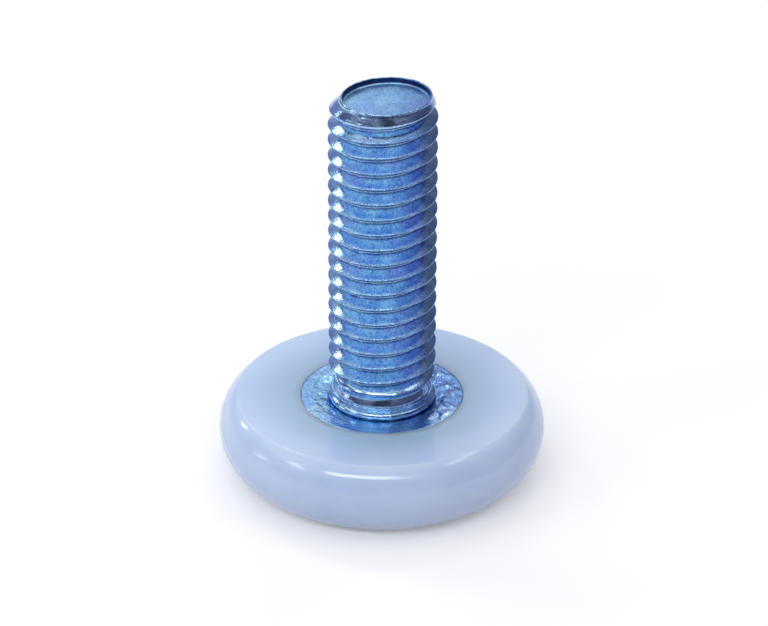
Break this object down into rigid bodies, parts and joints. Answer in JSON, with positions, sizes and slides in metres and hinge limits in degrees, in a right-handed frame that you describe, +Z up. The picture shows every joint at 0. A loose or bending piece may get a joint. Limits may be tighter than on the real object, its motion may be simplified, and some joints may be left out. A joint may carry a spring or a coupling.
{
  "type": "adjustable cabinet leg",
  "caption": "Levelling foot for a cabinet: a zinc-plated threaded stud with its wide head moulded into a low round milky plastic foot, screwed in or out to set the height.",
  "frame": {"origin": "centre of the sole, on the floor", "axes": "+Z up along the stud's axis, from the sole to the stud's tip; the picture looks along +Y"},
  "size_m": [0.03, 0.03, 0.0375],
  "materials": {
    "zinc_plated_steel": "bright zinc plate with a blue passivation",
    "milky_plastic": "milky translucent, smooth and slightly glossy"
  },
  "bodies": {
    "root": {"threaded_stud": "zinc_plated_steel", "foot_pad": "milky_plastic"}
  },
  "joints": []
}
